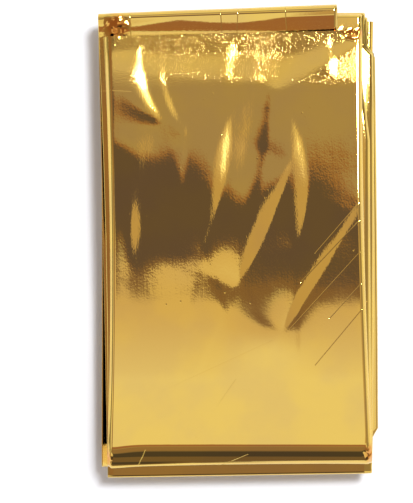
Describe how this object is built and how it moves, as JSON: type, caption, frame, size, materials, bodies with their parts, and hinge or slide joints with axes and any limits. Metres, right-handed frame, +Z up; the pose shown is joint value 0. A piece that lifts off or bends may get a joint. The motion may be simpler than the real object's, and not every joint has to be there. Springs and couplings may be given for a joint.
{
  "type": "folded emergency foil blanket",
  "caption": "Emergency blanket of gold metallised film, folded lengthwise into a strip and back and forth into a flat pack.",
  "frame": {"origin": "centre of the pack's outline, on the surface it lies on", "axes": "+X across the pack, +Y along its length from the rolled last turn towards the strip's free end on top, +Z up out of the face with the free end"},
  "size_m": [0.079, 0.1326, 0.0191],
  "materials": {
    "gold_film": "bright gold metallised polyester film, finely crinkled, silver on its hidden inner side"
  },
  "bodies": {
    "root": {"blanket": "gold_film"}
  },
  "joints": []
}
